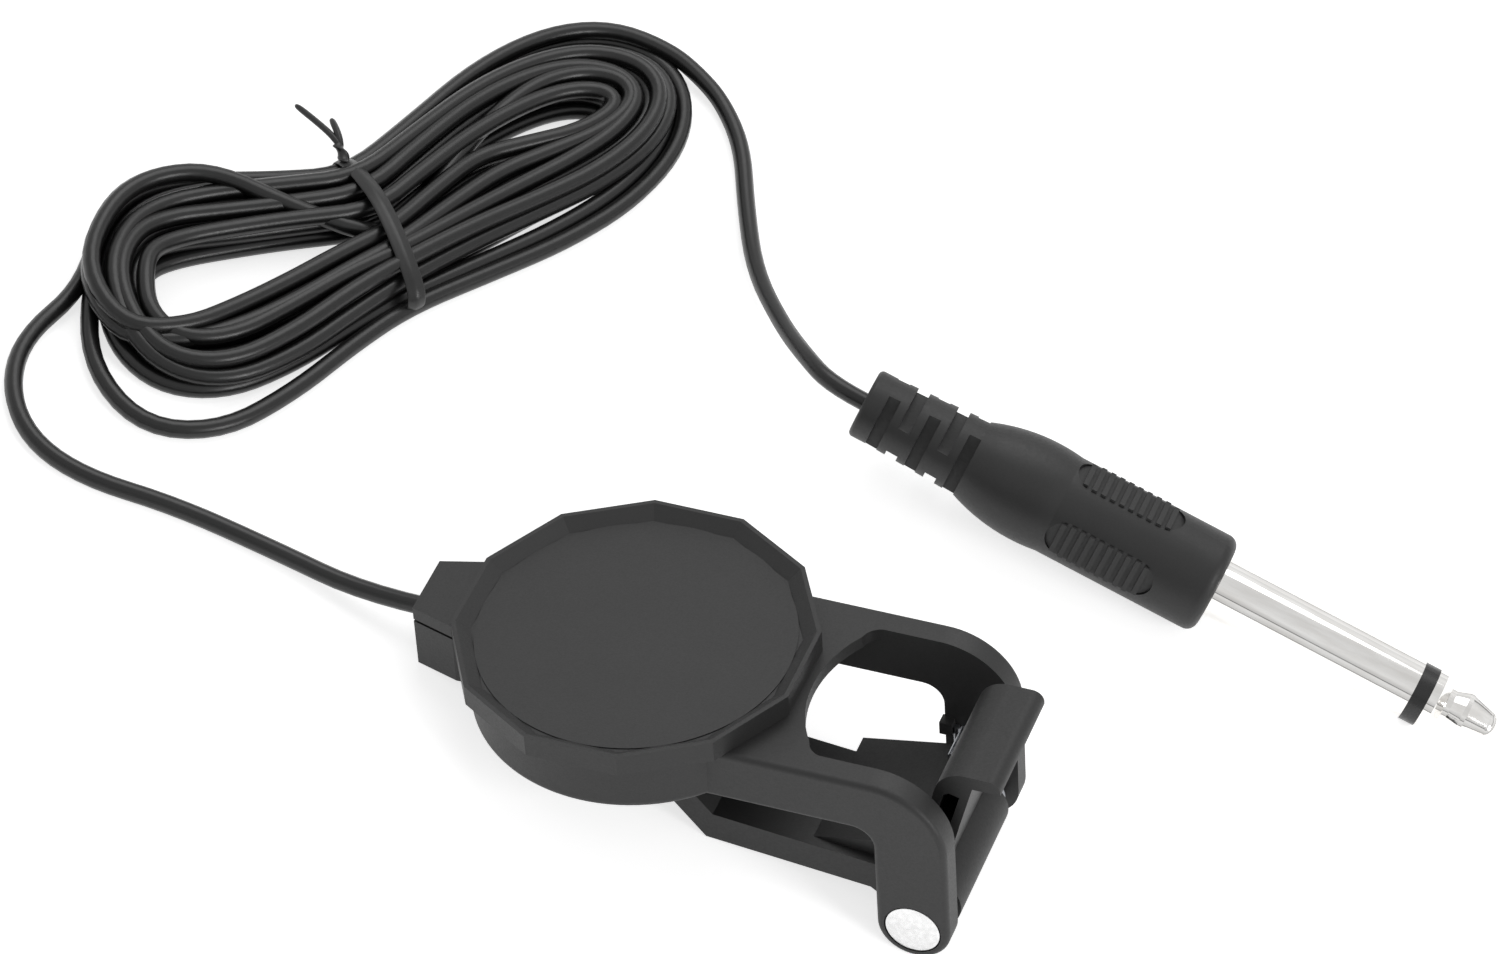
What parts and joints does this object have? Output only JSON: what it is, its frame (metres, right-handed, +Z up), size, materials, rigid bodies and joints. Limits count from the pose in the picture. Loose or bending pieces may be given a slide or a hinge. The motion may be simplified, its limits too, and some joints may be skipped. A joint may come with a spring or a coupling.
{
  "type": "piezo pickup",
  "caption": "Clip-on piezo pickup: twelve-sided sensor housing with a sprung jaw on a forked frame, a thin coiled lead tied in a bundle and a moulded 6.35 mm mono plug.",
  "frame": {"origin": "centre of the clip's footprint on the surface that it stands on, halfway between the end of its cable entry and its legs and between the two sides of its cap", "axes": "+X from the cable entry towards the pivot legs, +Y across the clip towards the side where the plug lies, +Z up from the surface"},
  "size_m": [0.151, 0.1058, 0.0227],
  "materials": {
    "housing": "fine moulded black, slightly satin",
    "lever": "fine moulded black, slightly satin",
    "pad": "soft black rubber",
    "brass": "stamped brass",
    "piezo_ceramic": "silvered ceramic",
    "foam": "closed-cell foam",
    "solder": "solder",
    "core_signal": "insulated core",
    "core_ground": "insulated core",
    "cable": "smooth black cable jacket",
    "clamp_ring": "hard plastic",
    "pin_steel": "turned steel",
    "spring_steel": "spring wire",
    "tie": "plastic-coated wire",
    "moulding": "soft moulded black",
    "plated": "bright nickel plate",
    "insulator": "hard black plastic"
  },
  "bodies": {
    "housing": {"housing_cap": "housing", "housing_base": "housing", "contact_pad": "pad", "piezo_brass_disc": "brass", "piezo_ceramic": "piezo_ceramic", "foam_damper": "foam", "signal_solder": "solder", "ground_solder": "solder", "signal_core": "core_signal", "ground_core": "core_ground", "cable_end": "cable", "cable_clamp": "clamp_ring", "pivot_pin": "pin_steel", "pin_washer": "pin_steel", "torsion_spring": "spring_steel", "cable_to_coil": "cable", "cable_coil": "cable", "cable_to_plug": "cable", "twist_tie": "tie", "plug_moulding": "moulding", "plug_sleeve": "plated", "plug_insulator": "insulator", "plug_rear_insulator": "insulator", "plug_tip": "plated", "plug_tip_lug": "brass", "plug_sleeve_lug": "brass", "plug_signal_core": "core_signal", "plug_ground_core": "core_ground", "plug_cable_end": "cable"},
    "clip_lever": {"clip_lever": "lever", "jaw_pad": "pad"}
  },
  "joints": [
    {"name": "lever_pivot", "type": "hinge", "parent": "housing", "child": "clip_lever", "pos_m": [0.02678, 0, 0.0037], "axis": [0, -1, 0], "range_deg": [0, 20], "stiffness_Nm_per_rad": 0.27, "springref_deg": -32.66, "deforming": ["torsion_spring"]}
  ]
}
